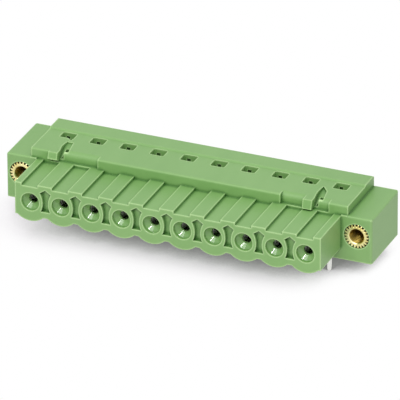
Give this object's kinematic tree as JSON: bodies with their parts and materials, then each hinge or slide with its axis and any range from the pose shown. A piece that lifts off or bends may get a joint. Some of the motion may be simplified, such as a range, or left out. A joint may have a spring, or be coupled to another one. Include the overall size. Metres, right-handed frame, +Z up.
{
  "type": "pluggable terminal block header",
  "caption": "Green right-angle board header of a pluggable terminal block, with funnelled sockets, windows, latching lugs, threaded flange inserts and solder pins.",
  "frame": {"origin": "centre of the row of solder pins, on the seating plane of the housing's underside", "axes": "+X along the row of poles, -Y out of the sockets towards the mating plug, +Z up from the board"},
  "size_m": [0.061, 0.0192, 0.0125],
  "materials": {
    "housing_plastic": "satin",
    "tinned_contact": "satin",
    "insert_brass": "satin"
  },
  "bodies": {
    "root": {"housing": "housing_plastic", "contact_1": "tinned_contact", "contact_2": "tinned_contact", "contact_3": "tinned_contact", "contact_4": "tinned_contact", "contact_5": "tinned_contact", "contact_6": "tinned_contact", "contact_7": "tinned_contact", "contact_8": "tinned_contact", "contact_9": "tinned_contact", "contact_10": "tinned_contact", "insert_left": "insert_brass", "insert_right": "insert_brass"}
  },
  "joints": []
}
